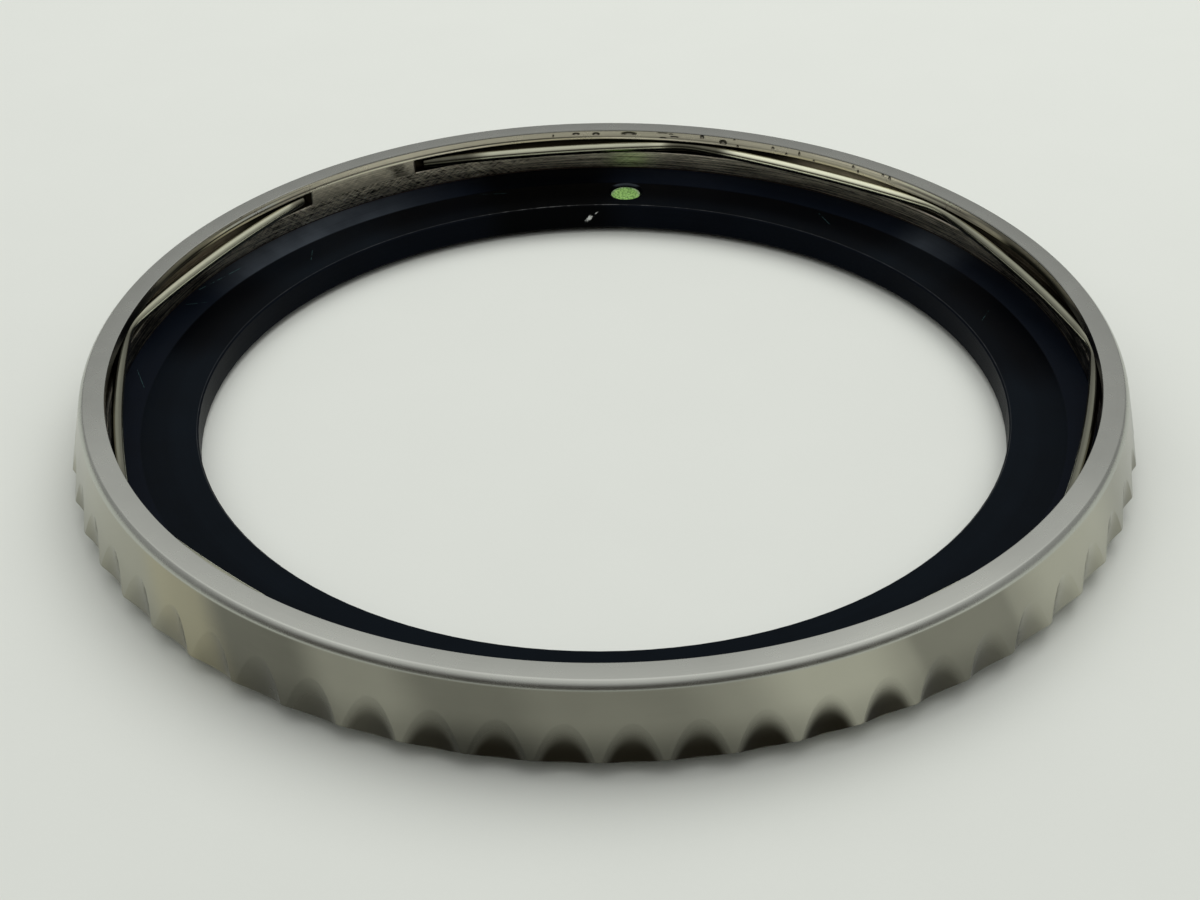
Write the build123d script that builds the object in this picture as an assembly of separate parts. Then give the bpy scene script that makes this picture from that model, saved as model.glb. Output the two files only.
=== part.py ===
from build123d import *
from math import acos, atan2, cos, degrees, radians, sin, tan
import os

# Rotating bezel of a diver's watch, off its watch and lying dial side down, in millimetres and degrees.
# The origin is on the axis, in the plane that the rim of the dial side rests on, and +Z points towards
# the case side. The zero mark and its luminous pip lie at +Y.

# Bezel ring, over the crests of its coin edge
ring_outer_d = 40.0
ring_height = 3.5
ring_wall = 1.52                # from a crest in to the bore that goes over the case neck
lip_inset = 0.77                # from a crest's radius in to the flat case-side lip
lip_round_width = 0.23
lip_round_height = 0.32
lip_edge_break = 0.05           # chamfer where the lip meets the bore
crest_height = 0.78             # where the flank's cone meets the bevel of the dial side
rim_width = 0.30                # flat rim round the insert, on the dial side
rim_edge_break = 0.06

# Coin edge
scallop_count = 60
scallop_depth = 0.30
scallop_cutter_radius = 1.80

# Spring groove in the bore, and the land that interrupts it
guide_band_height = 0.45        # bore between the lip and the groove
groove_width = 0.60
groove_depth = 0.46
lower_band_height = 0.77        # bore between the groove and the insert
land_angle = 16.0
land_middle_angle = 128.35

# Retaining spring, a wire bent to an open polygon
wire_d = 0.45
chord_count = 9
corner_pitch_angle = 38.17      # from one corner of the wire to the next
chord_bow_angle = 12.0          # each chord is bowed outward and turns this much along its length
corner_bend_radius = 3.1        # to the middle of the wire
spring_floor_clearance = 0.02

# Insert, which drops in from the dial side on to a ledge
seat_ledge_width = 0.32
insert_side_clearance = 0.05
insert_width = 3.42             # from its outer edge in to the crystal opening
dial_recess = 0.20              # dial face behind the rim
band_rise = 0.25                # the outer band of its back rises this much on a shallow cone
band_width = 1.03               # from the ring's bore in to the flat part of its back
insert_back_break = 0.07
insert_dial_break = 0.10

# Bond line between the insert and the ledge
bond_thickness = 0.06
bond_setback = 0.04             # behind the ring's bore, and behind the insert's outer edge

# Luminous pip, pushed in from the dial side
pip_setback = 1.30              # from the crystal opening out to the middle of the pip
pip_collar_d = 1.56
pip_collar_wall = 0.09
pip_collar_depth = 0.50         # from the dial face to the shoulder of the hole
pip_stem_d = 1.28
pip_stem_recess = 0.07          # end of the stem behind the insert's back
pip_hole_break = 0.12
pip_lens_edge = 0.16
pip_lens_crown = 0.09
pip_clearance = 0.01

# Filled marks of the dial face
mark_pocket_depth = 0.15
mark_recess = 0.02
mark_clearance = 0.01
tick_length = 0.55
tick_width = 0.13
tick_margin = 0.25              # from the insert's outer edge in to the ticks
mark_gap = 0.26                 # between the ticks and the numerals
numeral_height = 1.70
numeral_stroke = 0.27
digit_gap = 0.30
bar_width = 0.50
triangle_half_base = 1.75
triangle_apex_margin = 0.18     # from the crystal opening out to the apex

# The scale: its full count, and where the zero mark lies seen from the case side
minute_count = 60
mark_step = 5
numeral_minutes = range(2 * mark_step, minute_count, 2 * mark_step)
bar_minutes = range(mark_step, minute_count, 2 * mark_step)
tick_minutes = range(1, minute_count)
zero_mark_angle = 90.0

# What one cut may reach past the surface that it opens
cut_overrun = 0.5

# Strokes of the digits. Places are shares of the height between the middles of the top and bottom strokes
oval_width_share = 0.56
one_width_share = 0.24
three_upper_radius_share = 0.235
four_bar_share = 0.30
four_stem_share = 0.42
four_width_share = 0.58
five_bowl_radius_share = 0.29
five_bowl_end_angle = 140.0
five_bowl_start_angle = -145.0
two_bowl_end_angle = 165.0
two_bowl_start_angle = -38.0
three_open_angle = 150.0

# Radii and heights that follow
crest_r = ring_outer_d / 2
bore_r = crest_r - ring_wall
groove_r = bore_r + groove_depth
pocket_r = bore_r + seat_ledge_width
lip_r = crest_r - lip_inset
insert_r = pocket_r - insert_side_clearance
opening_r = insert_r - insert_width
band_r = bore_r - band_width
groove_top_z = ring_height - guide_band_height
groove_bottom_z = groove_top_z - groove_width
seat_z = groove_bottom_z - lower_band_height
band_top_z = seat_z - bond_thickness
insert_back_z = band_top_z - band_rise
mark_floor_z = dial_recess + mark_pocket_depth
mark_thickness = mark_pocket_depth - mark_recess
tick_outer_r = insert_r - tick_margin
numeral_outer_r = tick_outer_r - tick_length - mark_gap
numeral_middle_r = numeral_outer_r - numeral_height / 2
pip_r = opening_r + pip_setback
pip_shoulder_z = dial_recess + pip_collar_depth
pip_stem_end_z = insert_back_z - pip_stem_recess

# The dial face as a person sees it, from below, with the zero mark at the top
dial_view = Plane(origin=(0, 0, mark_floor_z), x_dir=(-1, 0, 0), z_dir=(0, 0, -1))


def turned(points):
    """The solid that an outline of (radius, height) points makes when it turns about the axis."""
    outline = Polyline(*points, close=True)
    return revolve(Plane.XZ * make_face(outline), Axis.Z)


def disc(radius, low_z, high_z, middle_y=0):
    """An upright cylinder between two heights."""
    base = Pos(0, middle_y, low_z) * Circle(radius)
    return extrude(base, high_z - low_z)


def make_ring_blank():
    """The ring before its groove and coin edge are cut."""
    outline = Polyline(
        (bore_r, seat_z),
        (bore_r, ring_height - lip_edge_break),
        (bore_r + lip_edge_break, ring_height),
        (lip_r, ring_height),
    )
    shoulder_r = lip_r + lip_round_width
    shoulder_z = ring_height - lip_round_height
    outline += RadiusArc((lip_r, ring_height), (shoulder_r, shoulder_z), lip_round_width + lip_round_height)
    outline += Polyline(
        (shoulder_r, shoulder_z),
        (crest_r, crest_height),
        (pocket_r + rim_width, 0),
        (pocket_r + rim_edge_break, 0),
        (pocket_r, rim_edge_break),
        (pocket_r, seat_z),
        (bore_r, seat_z),
    )
    return revolve(Plane.XZ * make_face(outline.edges()), Axis.Z)


def make_bezel_ring():
    """Steel ring with a coin edge, a ledge for the insert and a groove that stops at a land."""
    ring = make_ring_blank()
    cutter_middle_r = crest_r - scallop_depth + scallop_cutter_radius
    cutter_base = Plane.XY.offset(-cut_overrun) * Circle(scallop_cutter_radius)
    cutter = extrude(cutter_base, ring_height + 2 * cut_overrun)
    pitch_angle = 360 / scallop_count
    ring -= [
        Rot(Z=zero_mark_angle + number * pitch_angle) * Pos(X=cutter_middle_r) * cutter
        for number in range(scallop_count)
    ]
    groove_outline = Polyline(
        (bore_r - cut_overrun, groove_bottom_z),
        (groove_r, groove_bottom_z),
        (groove_r, groove_top_z),
        (bore_r - cut_overrun, groove_top_z),
        close=True,
    )
    groove = revolve(Plane.XZ * make_face(groove_outline), Axis.Z, 360 - land_angle)
    return ring - Rot(Z=land_middle_angle + land_angle / 2) * groove


def bend_at(middle_r, angle, radius, facing_from, facing_to):
    """A bend of the wire about a point on the ray at an angle, between two directions of its outer side."""
    height = (groove_top_z + groove_bottom_z) / 2
    middle = (middle_r * cos(radians(angle)), middle_r * sin(radians(angle)), height)
    return CenterArc(middle, radius, facing_from, facing_to - facing_from)


def make_retaining_spring():
    """One wire along an open polygon. Its corners ride in the groove, its bowed chords cross the bore."""
    half_pitch = corner_pitch_angle / 2
    half_bow = chord_bow_angle / 2
    corner_reach = groove_r - spring_floor_clearance - wire_d / 2
    corner_centre_r = corner_reach - corner_bend_radius
    # A corner and a chord join smoothly where both face half the bow away from the chord's middle
    corner_across = corner_centre_r * sin(radians(half_pitch))
    chord_radius = corner_bend_radius + corner_across / sin(radians(half_bow))
    chord_centre_r = corner_centre_r * cos(radians(half_pitch)) - corner_across / tan(radians(half_bow))
    # At a free end the chord runs on until it is as far out as the corners
    end_square = corner_reach ** 2 - chord_centre_r ** 2 - chord_radius ** 2
    end_cosine = end_square / (2 * chord_centre_r * chord_radius)
    end_bow = degrees(acos(end_cosine))
    first_angle = land_middle_angle + 180 - (chord_count - 1) * half_pitch
    last = chord_count - 1
    path = []
    for chord in range(chord_count):
        angle = first_angle + chord * corner_pitch_angle
        facing_from = angle - (end_bow if chord == 0 else half_bow)
        facing_to = angle + (end_bow if chord == last else half_bow)
        path.append(bend_at(chord_centre_r, angle, chord_radius, facing_from, facing_to))
        if chord < last:
            corner_angle = angle + half_pitch
            corner_to = facing_to + corner_pitch_angle - chord_bow_angle
            path.append(bend_at(corner_centre_r, corner_angle, corner_bend_radius, facing_to, corner_to))
    route = Wire([piece.edge() for piece in path])
    start = Plane(origin=route @ 0, z_dir=route % 0)
    spring = sweep(start * Circle(wire_d / 2), path=route)
    expected = route.length * Circle(wire_d / 2).area
    end_along = chord_centre_r + chord_radius * end_cosine
    end_angle = degrees(atan2(chord_radius * sin(radians(end_bow)), end_along))
    end_play = (360 - land_angle) / 2 - last * half_pitch - end_angle
    projection = bore_r - (chord_centre_r + chord_radius - wire_d / 2)
    print("retaining spring: projection", round(projection, 3), "end play", round(end_play, 3),
          "volume over section times length", round(spring.volume / expected, 5))
    return spring


def make_insert_blank():
    """The insert before its marks and the hole for the pip are cut."""
    return turned([
        (opening_r, dial_recess + insert_dial_break),
        (opening_r, insert_back_z - insert_back_break),
        (opening_r + insert_back_break, insert_back_z),
        (band_r, insert_back_z),
        (bore_r, band_top_z),
        (insert_r, band_top_z),
        (insert_r, dial_recess + insert_dial_break),
        (insert_r - insert_dial_break, dial_recess),
        (opening_r + insert_dial_break, dial_recess),
    ])


def make_insert():
    """Black annular insert with pockets for the filled marks and a stepped hole for the pip."""
    insert = make_insert_blank()
    depth = mark_pocket_depth + cut_overrun
    pockets = [make_triangle_face(mark_clearance), make_tick_faces(mark_clearance)]
    pockets += [make_bar_faces(mark_clearance)]
    pockets += [make_numeral_face(minute, mark_clearance) for minute in numeral_minutes]
    for pocket in pockets:
        insert -= extrude(dial_view * pocket, depth)
    insert -= disc(pip_collar_d / 2 + pip_clearance, -cut_overrun, pip_shoulder_z, pip_r)
    stem_hole_r = pip_stem_d / 2 + pip_clearance
    insert -= disc(stem_hole_r, 0, insert_back_z + cut_overrun, pip_r)
    countersink = Pos(0, pip_r, insert_back_z - pip_hole_break / 2) * Cone(
        stem_hole_r, stem_hole_r + pip_hole_break, pip_hole_break
    )
    return insert - countersink


def make_insert_bond():
    """Thin ring of adhesive between the insert and the ledge."""
    inner_r = bore_r + bond_setback
    outer_r = insert_r - bond_setback
    return disc(outer_r, band_top_z, seat_z) - disc(inner_r, band_top_z, seat_z)


def make_pip_collar():
    """Steel sleeve that lines the front of the hole, flush with the dial face."""
    outer = disc(pip_collar_d / 2, dial_recess, pip_shoulder_z, pip_r)
    return outer - disc(pip_collar_d / 2 - pip_collar_wall, dial_recess, pip_shoulder_z, pip_r)


def make_pip_lume():
    """Luminous plug. Its head fills the collar behind the lens, and its stem shows at the insert's back."""
    head_r = pip_collar_d / 2 - pip_collar_wall - pip_clearance
    head = disc(head_r, dial_recess + pip_lens_edge, pip_shoulder_z, pip_r)
    return head + disc(pip_stem_d / 2, pip_shoulder_z, pip_stem_end_z, pip_r)


def make_pip_lens():
    """Clear lens with a low crown, which stays behind the plane of the rim."""
    lens_r = pip_collar_d / 2 - pip_collar_wall - pip_clearance
    crown_radius = (lens_r ** 2 + pip_lens_crown ** 2) / (2 * pip_lens_crown)
    outline = Polyline(
        (0, dial_recess - pip_lens_crown),
        (0, dial_recess + pip_lens_edge),
        (lens_r, dial_recess + pip_lens_edge),
        (lens_r, dial_recess),
    )
    outline += RadiusArc((lens_r, dial_recess), (0, dial_recess - pip_lens_crown), crown_radius)
    lens = revolve(Plane.XZ * make_face(outline.edges()), Axis.Z)
    return Pos(Y=pip_r) * lens


def stroke(path, grow):
    """One stroke of a digit, with round ends."""
    return SlotArc(path.edge(), numeral_stroke + 2 * grow)


def bowl(height, x_share, y_share, radius_share, start_angle, end_angle):
    """An arc of a digit, with its middle and radius as shares of the digit's height."""
    middle = (x_share * height, y_share * height)
    return CenterArc(middle, radius_share * height, start_angle, end_angle - start_angle)


def segment(height, start_share, end_share):
    """A straight stroke between two points, given as shares of the digit's height."""
    points = [(x_share * height, y_share * height) for x_share, y_share in (start_share, end_share)]
    return Line(*points)


def digit_paths(digit, height):
    """The middle lines of one digit's strokes, and its width. The foot is at zero height."""
    radius_share = oval_width_share / 2
    if digit == "0":
        paths = [
            bowl(height, radius_share, 1 - radius_share, radius_share, 0, 180),
            bowl(height, radius_share, radius_share, radius_share, 180, 360),
            segment(height, (0, radius_share), (0, 1 - radius_share)),
            segment(height, (oval_width_share, radius_share), (oval_width_share, 1 - radius_share)),
        ]
        return paths, oval_width_share * height
    if digit == "1":
        flag_share = 1 - one_width_share
        paths = [
            segment(height, (one_width_share, 0), (one_width_share, 1)),
            segment(height, (0, flag_share), (one_width_share, 1)),
        ]
        return paths, one_width_share * height
    if digit == "2":
        top_share = 1 - radius_share
        top = bowl(height, radius_share, top_share, radius_share, two_bowl_start_angle, two_bowl_end_angle)
        paths = [top, Line(top @ 0, (0, 0)), segment(height, (0, 0), (oval_width_share, 0))]
        return paths, oval_width_share * height
    if digit == "3":
        lower_share = (1 - 2 * three_upper_radius_share) / 2
        upper_middle_share = 1 - three_upper_radius_share
        paths = [
            bowl(height, lower_share, upper_middle_share, three_upper_radius_share, -90, three_open_angle),
            bowl(height, lower_share, lower_share, lower_share, -three_open_angle, 90),
        ]
        return paths, 2 * lower_share * height
    if digit == "4":
        paths = [
            segment(height, (four_stem_share, 0), (four_stem_share, 1)),
            segment(height, (four_stem_share, 1), (0, four_bar_share)),
            segment(height, (0, four_bar_share), (four_width_share, four_bar_share)),
        ]
        return paths, four_width_share * height
    belly = bowl(height, five_bowl_radius_share, five_bowl_radius_share, five_bowl_radius_share,
                 five_bowl_start_angle, five_bowl_end_angle)
    neck = (belly @ 1).X
    shoulder = (neck, height)
    paths = [belly, Line(belly @ 1, shoulder), Line(shoulder, (oval_width_share * height, height))]
    return paths, 2 * five_bowl_radius_share * height


def on_dial(minute, radius, face):
    """Puts a face that is drawn upright about its own middle at its minute and radius on the dial."""
    return Rot(Z=-360 / minute_count * minute) * Pos(Y=radius) * face


def make_numeral_face(minute, grow=0):
    """The two digits of one numeral, side by side."""
    line_height = numeral_height - numeral_stroke
    digits = [digit_paths(digit, line_height) for digit in str(minute)]
    total = sum(width + numeral_stroke for _, width in digits) + digit_gap * (len(digits) - 1)
    left = -total / 2 + numeral_stroke / 2
    face = Sketch()
    for paths, width in digits:
        for path in paths:
            face += Pos(left, -line_height / 2) * stroke(path, grow)
        left += width + numeral_stroke + digit_gap
    return on_dial(minute, numeral_middle_r, face)


def make_bar_faces(grow=0):
    """A plain bar at each odd five minutes."""
    bar = Rectangle(bar_width + 2 * grow, numeral_height + 2 * grow)
    return Sketch() + [on_dial(minute, numeral_middle_r, bar) for minute in bar_minutes]


def make_tick_faces(grow=0):
    """A tick at each minute but the zero."""
    tick = Rectangle(tick_width + 2 * grow, tick_length + 2 * grow)
    middle_r = tick_outer_r - tick_length / 2
    return Sketch() + [on_dial(minute, middle_r, tick) for minute in tick_minutes]


def make_triangle_face(grow=0):
    """The zero mark, a triangle that points at the crystal and holds the pip."""
    apex_r = opening_r + triangle_apex_margin
    base = [(triangle_half_base, tick_outer_r), (-triangle_half_base, tick_outer_r)]
    face = make_face(Polyline((0, apex_r), *base, close=True))
    if grow:
        face = offset(face, grow, kind=Kind.INTERSECTION)
    return face


def make_marks(face):
    """Fill of one mark or group of marks, from the pocket's floor to just behind the dial face."""
    return extrude(dial_view * face, mark_thickness)


def make_zero_triangle():
    """The fill of the zero mark, cut away round the pip."""
    hole = disc(pip_collar_d / 2 + pip_clearance, -cut_overrun, pip_shoulder_z, pip_r)
    return make_marks(make_triangle_face()) - hole


pieces = {
    "bezel_ring": make_bezel_ring(),
    "retaining_spring": make_retaining_spring(),
    "insert": make_insert(),
    "insert_bond": make_insert_bond(),
    "pip_collar": make_pip_collar(),
    "pip_lume": make_pip_lume(),
    "pip_lens": make_pip_lens(),
    "zero_triangle": make_zero_triangle(),
    "five_minute_bars": make_marks(make_bar_faces()),
    "minute_ticks": make_marks(make_tick_faces()),
}
for minute in numeral_minutes:
    pieces[f"numeral_{minute}"] = make_marks(make_numeral_face(minute))

os.makedirs("parts", exist_ok=True)
for name, piece in pieces.items():
    export_step(piece, f"parts/{name}.step")
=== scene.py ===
"""Looks of a diver's watch bezel that lies dial side down on a pale card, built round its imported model."""
import math

import bmesh
import bpy
from mathutils import Matrix, Vector, noise


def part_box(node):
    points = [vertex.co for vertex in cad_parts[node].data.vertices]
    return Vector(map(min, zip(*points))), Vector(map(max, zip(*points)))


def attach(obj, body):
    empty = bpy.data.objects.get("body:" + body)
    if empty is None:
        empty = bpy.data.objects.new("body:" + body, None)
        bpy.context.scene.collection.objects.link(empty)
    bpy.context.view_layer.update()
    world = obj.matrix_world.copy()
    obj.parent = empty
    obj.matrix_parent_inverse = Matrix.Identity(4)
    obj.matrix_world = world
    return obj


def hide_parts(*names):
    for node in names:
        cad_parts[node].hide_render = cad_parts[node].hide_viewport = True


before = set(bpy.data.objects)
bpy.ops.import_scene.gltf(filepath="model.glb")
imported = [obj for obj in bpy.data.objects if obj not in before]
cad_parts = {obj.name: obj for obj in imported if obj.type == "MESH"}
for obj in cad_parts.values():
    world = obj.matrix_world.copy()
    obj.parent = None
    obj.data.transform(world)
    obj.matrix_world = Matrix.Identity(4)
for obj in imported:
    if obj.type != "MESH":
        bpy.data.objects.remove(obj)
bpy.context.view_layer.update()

bl_info = {
    "name": "Watch bezel",
    "version": (1, 0, 0),
    "blender": (4, 5, 0),
    "location": "3D View > Sidebar > Bezel",
    "description": "A coin edge ring, its retaining spring and its insert, with finishes and a stage",
    "category": "Add Mesh",
}

MM = 0.001
PER_METRE = 1000


# Properties that a user would change

def length(name, description, millimetres):
    """A length, given here in millimetres and kept in metres."""
    return bpy.props.FloatProperty(
        name=name, description=description, default=millimetres * MM, min=0, precision=5, unit="LENGTH",
    )


def angle(name, description, degrees):
    """An angle, given here in degrees and kept in radians."""
    return bpy.props.FloatProperty(
        name=name, description=description, default=math.radians(degrees), subtype="ANGLE",
    )


def count(name, description, number):
    """A number of like features."""
    return bpy.props.IntProperty(name=name, description=description, default=number, min=1)


def colour(name, description, red, green, blue):
    """A colour as the shader uses it, before the display's curve."""
    return bpy.props.FloatVectorProperty(
        name=name, description=description, default=(red, green, blue), size=3, min=0, max=1, subtype="COLOR",
    )


def amount(name, description, value):
    """A plain number from nothing to a few times its default."""
    return bpy.props.FloatProperty(name=name, description=description, default=value, min=0, subtype="FACTOR")


def optics(name, description, millimetres):
    """A length inside the camera, kept in millimetres."""
    return bpy.props.FloatProperty(
        name=name, description=description, default=millimetres, min=1, unit="CAMERA",
    )


class RingSizes(bpy.types.PropertyGroup):
    """Sizes of the steel ring."""
    crest_diameter: length("Crest diameter", "Across the crests of the coin edge", 40.0)
    height: length("Height", "From the dial side rim to the case side lip", 3.5)
    wall: length("Wall", "From a crest in to the bore", 1.52)
    lip_inset: length("Lip inset", "From a crest's radius in to the flat lip", 0.77)
    lip_round_width: length("Lip round width", "Width of the round outside the lip", 0.23)
    lip_round_height: length("Lip round height", "Height of the round outside the lip", 0.32)
    lip_edge: length("Lip edge", "Break between the lip and the bore", 0.025)
    crest_height: length("Crest height", "Where the flank meets the bevel of the dial side", 0.78)
    crest_wear: length("Crest wear", "What polishing took off the crests", 0.004)
    rim_width: length("Rim width", "Flat rim round the insert", 0.30)
    rim_edge: length("Rim edge", "Break between the rim and the insert's pocket", 0.06)
    ledge_width: length("Ledge width", "Ledge that the insert is bonded to", 0.32)
    guide_band: length("Guide band", "Bore between the lip and the groove", 0.45)
    groove_width: length("Groove width", "Width of the spring groove", 0.60)
    groove_depth: length("Groove depth", "Depth of the spring groove", 0.46)
    lower_band: length("Lower band", "Bore between the groove and the insert", 0.77)
    land_angle: angle("Land angle", "Part of the turn that the groove leaves whole", 16.0)
    land_middle: angle("Land middle", "Where that part lies", 128.35)
    scallops: count("Scallops", "Scallops round the coin edge", 60)
    scallop_depth: length("Scallop depth", "Depth of a scallop below the crests", 0.30)
    scallop_radius: length("Scallop radius", "Radius of the cutter that made the scallops", 1.80)
    scallop_start: angle("Scallop start", "Middle of the first scallop", 90.0)
    small_round: length("Small round", "Reach of the worn round on a cut edge", 0.035)
    columns: count("Columns", "Columns of faces in each scallop", 20)


class SpringSizes(bpy.types.PropertyGroup):
    """Sizes of the retaining spring."""
    wire_diameter: length("Wire diameter", "Diameter of the wire", 0.45)
    chords: count("Chords", "Bowed parts that cross the bore", 9)
    corner_pitch: angle("Corner pitch", "From one corner to the next, seen from the axis", 38.17)
    chord_bow: angle("Chord bow", "How much a chord turns along its length", 12.0)
    bend_radius: length("Bend radius", "Radius of a corner, to the middle of the wire", 3.1)
    floor_clearance: length("Floor clearance", "From the corners of the wire to the groove's floor", 0.02)
    end_round: length("End round", "Radius of the broken edge at each end", 0.06)
    sides: count("Sides", "Faces round the wire", 28)


class InsertSizes(bpy.types.PropertyGroup):
    """Sizes of the insert, which tell its finish where its walls lie."""
    width: length("Width", "From the outer edge in to the crystal opening", 3.42)
    cone_width: length("Cone width", "From the outer edge in to the flat part of the back", 1.30)
    band_rise: length("Band rise", "How much the outer band of the back rises", 0.25)


class PipSizes(bpy.types.PropertyGroup):
    """Sizes of the luminous plug."""
    head_clearance: length("Head height", "Height of the head in its collar", 0.34)
    stem_diameter: length("Stem diameter", "Diameter of the stem that shows at the insert's back", 1.28)
    grain_depth: length("Grain depth", "Depth of the grains on the end of the stem", 0.035)
    grain_size: length("Grain size", "Width of one grain", 0.085)
    sectors: count("Sectors", "Faces round the plug", 72)
    rings: count("Rings", "Rings of faces on the end of the stem", 18)


class FinishColours(bpy.types.PropertyGroup):
    """Colours of the finishes."""
    lip_steel: colour("Lip steel", "Satin lip on the case side", 0.425, 0.435, 0.395)
    # The flank's steel is darker and warmer than the lip's, a painted dim reflection of the floor it mirrors
    flank_reflection_steel: colour("Flank steel", "Polished flank above the coin edge", 0.30, 0.294, 0.245)
    bore_steel: colour("Bore steel", "Turned bore", 0.55, 0.51, 0.41)
    # A yellowish painted reflection on the flank
    flank_warm_reflection: colour("Flank warm", "Yellowish patch on the flank", 0.35, 0.325, 0.23)
    # The floor of the groove and of the scallops is darkened as painted shade
    recess_shade_steel: colour("Recess steel", "Floor of the groove and of the scallops", 0.033, 0.028, 0.018)
    # Lighter brown patches on the groove's floor
    groove_brown: colour("Groove brown", "Brown film on parts of the groove's floor", 0.61, 0.54, 0.41)
    wire_steel: colour("Wire steel", "Drawn spring wire", 0.67, 0.675, 0.51)
    # Brown painted shade of the wire where it lies in the groove and on its underside
    wire_shade: colour("Wire brown", "Wire where it rubs in the groove", 0.11, 0.095, 0.065)
    collar_steel: colour("Collar steel", "Sleeve round the pip", 0.62, 0.61, 0.58)
    insert_black: colour("Insert black", "Anodised insert", 0.0012, 0.0019, 0.0034)
    # Paler stretches of the flat back are painted reflection
    insert_flat_sheen: colour("Insert flat", "Paler stretches of the insert's flat back", 0.0030, 0.0050, 0.0076)
    # The outer band is lighter than the black as painted reflection, and greyer where painted sheen falls
    insert_cone_reflection: colour("Insert cone", "Outer band of the insert's back", 0.0036, 0.0054, 0.0092)
    insert_painted_sheen: colour("Insert sheen", "Greyer parts of that band", 0.036, 0.043, 0.051)
    insert_scratch: colour("Insert scratch", "Scratches on the insert's back", 0.07, 0.15, 0.15)
    insert_bare: colour("Insert bare", "Metal that shows where the insert is worn", 0.62, 0.63, 0.62)
    lume: colour("Lume", "Luminous compound by day", 0.25, 0.46, 0.115)
    lume_dark: colour("Lume dark", "Dark grains of the luminous compound", 0.045, 0.13, 0.020)
    lume_pale: colour("Lume pale", "Pale grains of the luminous compound", 0.42, 0.62, 0.24)
    # Painted shade on the far rim of the luminous compound
    lume_shaded_rim: colour("Lume rim", "Greyer rim of the luminous compound", 0.26, 0.31, 0.22)
    bond: colour("Bond", "Adhesive under the insert", 0.045, 0.030, 0.018)
    lens: colour("Lens", "Clear lens of the pip", 0.80, 0.84, 0.79)
    lens_haze: colour("Lens haze", "Fine scratches of the lens", 0.66, 0.68, 0.65)
    marks: colour("Marks", "Fill of the dial's marks", 0.74, 0.73, 0.67)
    marks_dust: colour("Marks dust", "Dust on the fill of the marks", 0.30, 0.29, 0.25)
    card: colour("Card", "Pale card under the bezel", 0.732, 0.756, 0.703)


class StageSettings(bpy.types.PropertyGroup):
    """Camera, light and floor."""
    distance: length("Distance", "From the axis at the lip's height to the camera", 79.98)
    turn: angle("Turn", "How far the camera stands round to the right", 3.8)
    rise: angle("Rise", "Height of the camera above the lip, as an angle", 33.4567)
    lift: length("Lift", "Height of the point that the camera stands round", 0.2)
    pitch: angle("Pitch", "How far the camera looks down", 34.3554)
    yaw: angle("Yaw", "How far the camera looks to the left", 0.1344)
    roll: angle("Roll", "How far the camera leans", -0.741)
    lens: optics("Lens", "Focal length", 62.15)
    sensor: optics("Sensor", "Width of the camera's sensor", 36.0)
    lamp_power: amount("Lamp power", "Power of the soft lamp overhead, in watts", 0.23)
    lamp_side: length("Lamp side", "Side of the square lamp", 200.0)
    lamp_right: length("Lamp right", "From the axis to the right", 45.0)
    lamp_back: length("Lamp back", "From the axis to the back", 130.0)
    lamp_height: length("Lamp height", "From the floor up", 220.0)
    sky: amount("Sky", "Strength of the soft light from all round", 1.0)
    dim_sky: colour("Dim sky", "Light from low down on the camera's side", 0.020, 0.011, 0.004)
    floor_side: length("Floor side", "Side of the square floor", 6000.0)


class RingForm:
    """Radii and heights of the ring, in metres unless told how many units make a metre."""

    def __init__(self, sizes, per_metre=1):
        self.crest_r = sizes.crest_diameter / 2 * per_metre
        self.crest_z = sizes.crest_height * per_metre
        self.bore_r = self.crest_r - sizes.wall * per_metre
        self.groove_r = self.bore_r + sizes.groove_depth * per_metre
        self.top_z = sizes.height * per_metre
        self.groove_top_z = self.top_z - sizes.guide_band * per_metre
        self.groove_middle_z = self.groove_top_z - sizes.groove_width / 2 * per_metre
        self.groove_bottom_z = self.groove_top_z - sizes.groove_width * per_metre
        self.lip_r = self.crest_r - sizes.lip_inset * per_metre
        self.shoulder_r = self.lip_r + sizes.lip_round_width * per_metre
        self.shoulder_z = self.top_z - sizes.lip_round_height * per_metre


# Shader maths

class Signal:
    """One output of a shader node, so that sums on it read as a Python expression."""

    def __init__(self, recipe, socket):
        self.recipe = recipe
        self.socket = socket

    def math(self, operation, *values):
        """A Math node on some values."""
        return self.recipe.add("Math", {"operation": operation}, dict(enumerate(values)))

    def __add__(self, other):
        return self.math("ADD", self, other)

    def __sub__(self, other):
        return self.math("SUBTRACT", self, other)

    def __rsub__(self, other):
        return self.math("SUBTRACT", other, self)

    def __mul__(self, other):
        return self.math("MULTIPLY", self, other)

    def __truediv__(self, other):
        return self.math("DIVIDE", self, other)

    def __pow__(self, other):
        return self.math("POWER", self, other)

    def __abs__(self):
        return self.math("ABSOLUTE", self)

    __radd__ = __add__
    __rmul__ = __mul__

    def greater_of(self, other):
        return self.math("MAXIMUM", self, other)

    def lesser_of(self, other):
        return self.math("MINIMUM", self, other)


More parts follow.
